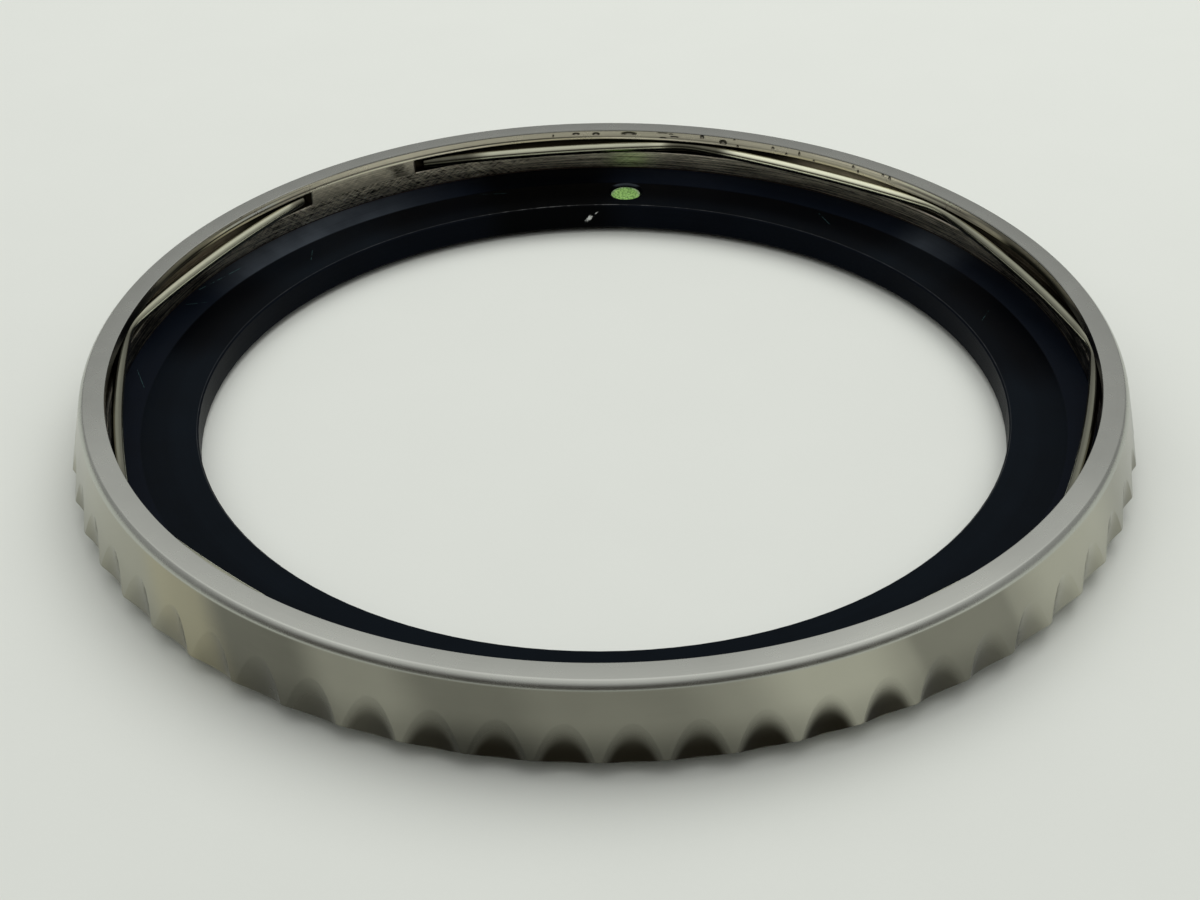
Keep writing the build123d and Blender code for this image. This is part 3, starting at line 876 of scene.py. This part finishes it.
def rounded(corners, steps=3):
    """An outline whose corners, each a point and a reach, are cut back to short curves."""
    points = []
    for index, (corner, reach) in enumerate(corners):
        if reach == 0:
            points.append(corner)
            continue
        before = corners[index - 1][0] - corner
        after = corners[(index + 1) % len(corners)][0] - corner
        start = corner + before.normalized() * min(reach, before.length * 0.45)
        end = corner + after.normalized() * min(reach, after.length * 0.45)
        for step in range(steps + 1):
            share = step / steps
            points.append(start * (1 - share) ** 2 + corner * 2 * share * (1 - share) + end * share ** 2)
    return points


def arc_between(start, end, radius, steps):
    """Points inside an arc that bulges away from the axis, between two points of the outline."""
    chord = end - start
    across = Vector((chord.y, -chord.x)).normalized()
    middle = (start + end) / 2 + across * math.sqrt(radius ** 2 - chord.length_squared / 4)
    first = math.atan2(start.y - middle.y, start.x - middle.x)
    last = math.atan2(end.y - middle.y, end.x - middle.x)
    turns = [first + (last - first) * step / steps for step in range(1, steps)]
    return [middle + radius * towards(turn) for turn in turns]


# Faces that meet more sharply than this keep an edge between them
SHARPEST_ROUND = math.radians(50)

# Points nearer to each other than this, in metres, are one point
SAME_POINT = 1e-8

# Angle, in radians, that sorts the second of two columns at one place after the first
JUST_AFTER = 1e-9

# Steps along the round outside the lip, along a bend of the wire and over its broken end
ROUND_STEPS = 6
BEND_STEPS = 24
END_STEPS = 6


def set_normals(mesh):
    """Normals that the larger faces govern, so that a flat looks flat right up to its small rounds."""
    around = [[] for vertex in mesh.vertices]
    for face in mesh.polygons:
        for index in face.vertices:
            around[index].append((face.normal.copy(), face.area))
    least_dot = math.cos(SHARPEST_ROUND)
    normals = []
    for face in mesh.polygons:
        for index in face.vertices:
            total = Vector()
            for normal, area in around[index]:
                if normal.dot(face.normal) > least_dot:
                    total += normal * area
            normals.append(total.normalized())
    mesh.normals_split_custom_set(normals)


def put_in_scene(thing):
    """Adds an object to the scene."""
    bpy.context.scene.collection.objects.link(thing)


def mesh_piece(name, mesh_code, material):
    """An object whose mesh a function fills in."""
    shape = bmesh.new()
    mesh_code(shape)
    bmesh.ops.remove_doubles(shape, verts=shape.verts[:], dist=SAME_POINT)
    bmesh.ops.recalc_face_normals(shape, faces=shape.faces[:])
    mesh = bpy.data.meshes.new(name)
    shape.to_mesh(mesh)
    shape.free()
    for face in mesh.polygons:
        face.use_smooth = True
    set_normals(mesh)
    piece = bpy.data.objects.new(name, mesh)
    put_in_scene(piece)
    mesh.materials.append(material)
    return piece


def join_loops(shape, loops, closed=True):
    """Faces between each loop of vertices and the next."""
    pairs = list(zip(loops, loops[1:]))
    if closed:
        pairs.append((loops[-1], loops[0]))
    for first, second in pairs:
        for index in range(len(first)):
            following = (index + 1) % len(first)
            corners = [first[index], first[following], second[following], second[index]]
            shape.faces.new(corners)


def ring_columns(sizes):
    """Angles of the ring's columns and whether each is in the land. The land's ends have two columns each."""
    total = sizes.scallops * sizes.columns
    land_start = sizes.land_middle - sizes.land_angle / 2
    land_end = sizes.land_middle + sizes.land_angle / 2
    columns = []
    for index in range(total):
        turn = index * math.tau / total
        columns.append((turn, land_start < turn < land_end))
    columns += [(land_start, False), (land_start + JUST_AFTER, True)]
    columns += [(land_end, True), (land_end + JUST_AFTER, False)]
    return sorted(columns)


def ring_outline(sizes, turn, in_land):
    """Radius and height of each point of the ring's section at one angle."""
    form = RingForm(sizes)
    groove_r = form.bore_r if in_land else form.groove_r
    pocket_r = form.bore_r + sizes.ledge_width
    rim_r = pocket_r + sizes.rim_width
    seat = form.groove_bottom_z - sizes.lower_band
    lip_end = Vector((form.lip_r, form.top_z))
    shoulder = Vector((form.shoulder_r, form.shoulder_z))

    pitch = math.tau / sizes.scallops
    off = (turn - sizes.scallop_start + pitch / 2) % pitch - pitch / 2
    cutter_r = form.crest_r - sizes.scallop_depth + sizes.scallop_radius
    half_chord = cutter_r * math.sin(off)
    scallop_r = cutter_r * math.cos(off) - math.sqrt(sizes.scallop_radius ** 2 - half_chord ** 2)
    outer_r = lesser_rounded(scallop_r, form.crest_r - sizes.crest_wear, sizes.crest_wear * 6)
    fall = (shoulder.y - form.crest_z) / (form.crest_r - shoulder.x)
    arris_top = shoulder.y - (outer_r - shoulder.x) * fall
    arris_bottom = (outer_r - rim_r) * form.crest_z / (form.crest_r - rim_r)

    edge = sizes.small_round
    corners = [
        (Vector((form.bore_r, seat)), edge / 2),
        (Vector((form.bore_r, form.groove_bottom_z)), edge),
        (Vector((groove_r, form.groove_bottom_z)), edge),
        (Vector((groove_r, form.groove_top_z)), edge),
        (Vector((form.bore_r, form.groove_top_z)), edge),
        (Vector((form.bore_r, form.top_z)), sizes.lip_edge),
        (lip_end, 0),
    ]
    round_radius = sizes.lip_round_width + sizes.lip_round_height
    corners += [(point, 0) for point in arc_between(lip_end, shoulder, round_radius, ROUND_STEPS)]
    corners += [
        (shoulder, edge),
        (Vector((outer_r, arris_top)), edge),
        (Vector((outer_r, arris_bottom)), edge),
        (Vector((rim_r, 0)), edge),
        (Vector((pocket_r, 0)), sizes.rim_edge),
        (Vector((pocket_r, seat)), edge / 2),
    ]
    return rounded(corners)


def fill_ring(shape, sizes):
    """The ring as one closed skin, column by column round the axis."""
    loops = []
    for turn, in_land in ring_columns(sizes):
        right, back = math.cos(turn), math.sin(turn)
        outline = ring_outline(sizes, turn, in_land)
        loops.append([shape.verts.new((point.x * right, point.x * back, point.y)) for point in outline])
    join_loops(shape, loops)


def bend(middle_r, turn, radius, facing_from, facing_to):
    """Points of one bend of the wire, each with the angle that its outer side faces."""
    middle = middle_r * towards(turn)
    samples = []
    for step in range(BEND_STEPS + 1):
        facing = facing_from + (facing_to - facing_from) * step / BEND_STEPS
        samples.append((middle + radius * towards(facing), facing))
    return samples


def spring_path(ring, spring):
    """Points of the wire's middle line, each with the angle that its outer side faces."""
    half_pitch = spring.corner_pitch / 2
    half_bow = spring.chord_bow / 2
    reach = RingForm(ring).groove_r - spring.floor_clearance - spring.wire_diameter / 2
    corner_middle = reach - spring.bend_radius
    across = corner_middle * math.sin(half_pitch)
    chord_radius = spring.bend_radius + across / math.sin(half_bow)
    chord_middle = corner_middle * math.cos(half_pitch) - across / math.tan(half_bow)
    end_square = reach ** 2 - chord_middle ** 2 - chord_radius ** 2
    end_bow = math.acos(end_square / (2 * chord_middle * chord_radius))
    last = spring.chords - 1
    samples = []
    for chord in range(spring.chords):
        turn = ring.land_middle + math.pi + (chord - last / 2) * spring.corner_pitch
        start = turn - (end_bow if chord == 0 else half_bow)
        end = turn + (end_bow if chord == last else half_bow)
        samples += bend(chord_middle, turn, chord_radius, start, end)
        if chord < last:
            corner_end = end + spring.corner_pitch - spring.chord_bow
            corner = bend(corner_middle, turn + half_pitch, spring.bend_radius, end, corner_end)
            samples += corner[1:-1]
    return samples


def broken_end(sample, into_wire, wire_r, end_round):
    """Stations of a free end, from its face to the full wire, each with the wire's radius there."""
    middle, facing = sample
    along = into_wire * Vector((-math.sin(facing), math.cos(facing)))
    stations = []
    for step in range(END_STEPS + 1):
        turn = math.radians(90 / END_STEPS * step)
        radius = wire_r - end_round * (1 - math.sin(turn))
        stations.append((middle + along * end_round * (1 - math.cos(turn)), facing, radius))
    return stations


def fill_spring(shape, ring, spring):
    """The wire as a closed tube whose ends have broken edges."""
    samples = spring_path(ring, spring)
    wire_r = spring.wire_diameter / 2
    height = RingForm(ring).groove_middle_z
    stations = broken_end(samples[0], 1, wire_r, spring.end_round)
    stations += [(middle, facing, wire_r) for middle, facing in samples[1:-1]]
    stations += reversed(broken_end(samples[-1], -1, wire_r, spring.end_round))
    loops = []
    for middle, facing, radius in stations:
        loop = []
        for side in range(spring.sides):
            turn = math.tau * side / spring.sides
            outward = radius * math.cos(turn)
            loop.append(shape.verts.new((
                middle.x + outward * math.cos(facing),
                middle.y + outward * math.sin(facing),
                height + radius * math.sin(turn),
            )))
        loops.append(loop)
    join_loops(shape, loops, closed=False)
    shape.faces.new(loops[0])
    shape.faces.new(loops[-1])


def fill_lume(shape, pip, lume_box):
    """The plug: a head in its collar, and a stem whose end is a bed of grains."""
    low, high = lume_box
    middle = (low + high) / 2
    head_r = (high.x - low.x) / 2
    stem_r = pip.stem_diameter / 2
    shoulder = low.z + pip.head_clearance
    outline = [(head_r * 0.5, low.z), (head_r, low.z), (head_r, shoulder), (stem_r, shoulder)]
    outline += [(stem_r, high.z - 2 * pip.grain_depth), (stem_r, high.z - pip.grain_depth)]
    loops = []
    for radius, level in outline:
        loops.append(polar_loop(shape, pip, middle, radius, lambda x, y: level))
    for ring in range(1, pip.rings):
        radius = stem_r * (1 - ring / pip.rings)
        loops.append(polar_loop(shape, pip, middle, radius, lambda x, y: high.z - grain_fall(pip, x, y)))
    join_loops(shape, loops, closed=False)
    shape.faces.new(loops[0])
    shape.faces.new(loops[-1])


def grain_fall(pip, x, y):
    """How far a point of the stem's end lies below its highest grain."""
    place = Vector((x, y, 0)) / pip.grain_size
    rough = 0.5 + 0.5 * noise.noise(place) + 0.25 * noise.noise(place * 2.3)
    return pip.grain_depth * min(max(rough, 0), 1)


def polar_loop(shape, pip, middle, radius, level_at):
    """A loop of vertices round the pip's axis."""
    loop = []
    for sector in range(pip.sectors):
        turn = math.tau * sector / pip.sectors
        x = middle.x + radius * math.cos(turn)
        y = middle.y + radius * math.sin(turn)
        loop.append(shape.verts.new((x, y, level_at(x, y))))
    return loop


def keep_flats_flat(piece):
    """Shades large faces flat and only the small rounds between them smooth."""
    weighted = piece.modifiers.new("weighted_normals", "WEIGHTED_NORMAL")
    weighted.mode = "FACE_AREA"
    weighted.weight = 100
    weighted.keep_sharp = False


# Operators

class MakeRing(bpy.types.Operator):
    """Makes the steel ring with its coin edge, groove and land"""
    bl_idname = "bezel.make_ring"
    bl_label = "Make ring"

    def execute(self, context):
        sizes = context.scene.bezel_ring
        material = make_ring_steel(context.scene.bezel_colours, sizes)
        piece = mesh_piece("ring_steel_body", lambda shape: fill_ring(shape, sizes), material)
        keep_flats_flat(piece)
        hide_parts("bezel_ring")
        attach(piece, "bezel")
        return {"FINISHED"}


class MakeSpring(bpy.types.Operator):
    """Makes the bent wire that holds the bezel on its case"""
    bl_idname = "bezel.make_spring"
    bl_label = "Make spring"

    def execute(self, context):
        ring = context.scene.bezel_ring
        spring = context.scene.bezel_spring
        material = make_wire_steel(context.scene.bezel_colours, ring)
        piece = mesh_piece("spring_bent_wire", lambda shape: fill_spring(shape, ring, spring), material)
        keep_flats_flat(piece)
        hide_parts("retaining_spring")
        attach(piece, "spring")
        return {"FINISHED"}


class MakeLume(bpy.types.Operator):
    """Makes the luminous plug with its grainy end"""
    bl_idname = "bezel.make_lume"
    bl_label = "Make lume"

    def execute(self, context):
        pip = context.scene.bezel_pip
        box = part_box("pip_lume")
        material = make_lume(context.scene.bezel_colours, pip)
        piece = mesh_piece("pip_lume_plug", lambda shape: fill_lume(shape, pip, box), material)
        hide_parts("pip_lume")
        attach(piece, "bezel")
        return {"FINISHED"}


def dress(node_name, material):
    """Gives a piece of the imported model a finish."""
    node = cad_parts.get(node_name)
    if node is None or not node.material_slots:
        raise RuntimeError(f"the packed model has no piece {node_name} to finish")
    for slot in node.material_slots:
        slot.material = material


class FinishInsert(bpy.types.Operator):
    """Gives the insert and its bond line their finishes"""
    bl_idname = "bezel.finish_insert"
    bl_label = "Finish insert"

    def execute(self, context):
        colours = context.scene.bezel_colours
        dress("insert", make_insert_black(colours, context.scene.bezel_insert))
        dress("insert_bond", make_bond(colours))
        return {"FINISHED"}


class FinishPip(bpy.types.Operator):
    """Gives the pip's collar and lens their finishes"""
    bl_idname = "bezel.finish_pip"
    bl_label = "Finish pip"

    def execute(self, context):
        colours = context.scene.bezel_colours
        dress("pip_collar", make_collar_steel(colours))
        dress("pip_lens", make_lens_clear(colours))
        return {"FINISHED"}


class FinishMarks(bpy.types.Operator):
    """Gives the filled marks of the dial their finish"""
    bl_idname = "bezel.finish_marks"
    bl_label = "Finish marks"

    def execute(self, context):
        material = make_mark_fill(context.scene.bezel_colours)
        marks = ["zero_triangle", "five_minute_bars", "minute_ticks"]
        marks += sorted(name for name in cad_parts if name.startswith("numeral_"))
        for name in marks:
            dress(name, material)
        return {"FINISHED"}


# Grey level of the surroundings by height: 0 is the horizon and all below it, 1 is straight overhead
SKY_STOPS = ((0.0, 0.30), (0.42, 0.40), (0.56, 0.57), (0.68, 0.81), (0.80, 0.95), (1.0, 1.16))

# The nearest and the furthest that the camera sees, in metres
CAMERA_REACH = (0.001, 20)


def make_floor(colours, side):
    """A wide pale floor."""
    half = side / 2
    mesh = bpy.data.meshes.new("floor")
    corners = [(-half, -half, 0), (half, -half, 0), (half, half, 0), (-half, half, 0)]
    mesh.from_pydata(corners, [], [(0, 1, 2, 3)])
    mesh.materials.append(make_card(colours))
    floor = bpy.data.objects.new("floor", mesh)
    put_in_scene(floor)


def make_surroundings(stage):
    """Soft light from all round: bright overhead, dimmer low down, dimmest low on the camera's side."""
    world = bpy.data.worlds.new("studio")
    world.use_nodes = True
    bpy.context.scene.world = world
    recipe = Recipe(world.node_tree)
    direction = recipe.add("TexCoord", output="Generated")
    towards_back, upwards = recipe.parts(direction)[1:]
    height_light = recipe.add("ValToRGB", {"stops": SKY_STOPS}, {"Fac": upwards})
    camera_side = recipe.step(towards_back * -1.0, -0.1, 0.6) * (1 - recipe.step(upwards, 0.20, 0.65))
    light = recipe.mixed(camera_side * 0.90, height_light, stage.dim_sky)
    background = recipe.add("Background", None, {"Color": light, "Strength": stage.sky})
    recipe.add("OutputWorld", None, {"Surface": background})


def make_lamp(stage):
    """A soft square lamp overhead, towards the back. The metal mirrors the surroundings alone."""
    lamp = bpy.data.lights.new("soft_lamp", "AREA")
    lamp.shape = "SQUARE"
    lamp.size = stage.lamp_side
    lamp.energy = stage.lamp_power
    holder = bpy.data.objects.new("soft_lamp", lamp)
    holder.location = (stage.lamp_right, stage.lamp_back, stage.lamp_height)
    holder.visible_glossy = False
    holder.rotation_euler = (-Vector(holder.location)).to_track_quat("-Z", "Y").to_euler()
    put_in_scene(holder)


def make_camera(stage):
    """The camera, at the angle that the bezel is seen from."""
    data = bpy.data.cameras.new("camera")
    data.sensor_width = stage.sensor
    data.lens = stage.lens
    data.clip_start, data.clip_end = CAMERA_REACH
    camera = bpy.data.objects.new("camera", data)
    stand = Matrix.Rotation(stage.turn, 4, "Z")
    offset = Vector((0, -stage.distance * math.cos(stage.rise), stage.distance * math.sin(stage.rise)))
    place = Matrix.Translation(stand @ offset + Vector((0, 0, stage.lift)))
    turn = Matrix.Rotation(stage.turn + stage.yaw, 4, "Z")
    tilt = Matrix.Rotation(math.radians(90) - stage.pitch, 4, "X")
    lean = Matrix.Rotation(stage.roll, 4, "Z")
    camera.matrix_world = place @ turn @ tilt @ lean
    put_in_scene(camera)
    bpy.context.scene.camera = camera


class SetStage(bpy.types.Operator):
    """Sets the floor, the light and the camera"""
    bl_idname = "bezel.set_stage"
    bl_label = "Set stage"

    def execute(self, context):
        stage = context.scene.bezel_stage
        make_floor(context.scene.bezel_colours, stage.floor_side)
        make_surroundings(stage)
        make_lamp(stage)
        make_camera(stage)
        context.scene.view_settings.view_transform = "Standard"
        return {"FINISHED"}


OPERATORS = (SetStage, MakeRing, MakeSpring, MakeLume, FinishInsert, FinishPip, FinishMarks)
GROUPS = {
    "bezel_ring": RingSizes,
    "bezel_spring": SpringSizes,
    "bezel_insert": InsertSizes,
    "bezel_pip": PipSizes,
    "bezel_colours": FinishColours,
    "bezel_stage": StageSettings,
}


class BezelPanel(bpy.types.Panel):
    """The sizes, the colours and the steps that make the bezel"""
    bl_idname = "VIEW3D_PT_bezel"
    bl_label = "Watch bezel"
    bl_space_type = "VIEW_3D"
    bl_region_type = "UI"
    bl_category = "Bezel"

    def draw(self, context):
        layout = self.layout
        for operator in OPERATORS:
            layout.operator(operator.bl_idname)
        for attribute in GROUPS:
            group = getattr(context.scene, attribute)
            box = layout.box()
            for name in group.__annotations__:
                box.prop(group, name)


def register():
    for group in GROUPS.values():
        bpy.utils.register_class(group)
    for attribute, group in GROUPS.items():
        setattr(bpy.types.Scene, attribute, bpy.props.PointerProperty(type=group))
    for operator in OPERATORS:
        bpy.utils.register_class(operator)
    bpy.utils.register_class(BezelPanel)


def unregister():
    bpy.utils.unregister_class(BezelPanel)
    for operator in reversed(OPERATORS):
        bpy.utils.unregister_class(operator)
    for attribute, group in GROUPS.items():
        delattr(bpy.types.Scene, attribute)
        bpy.utils.unregister_class(group)


def main():
    """Makes everything in order."""
    register()
    for operator in OPERATORS:
        group, name = operator.bl_idname.split(".")
        getattr(getattr(bpy.ops, group), name)()


if __name__ == "__main__":
    main()
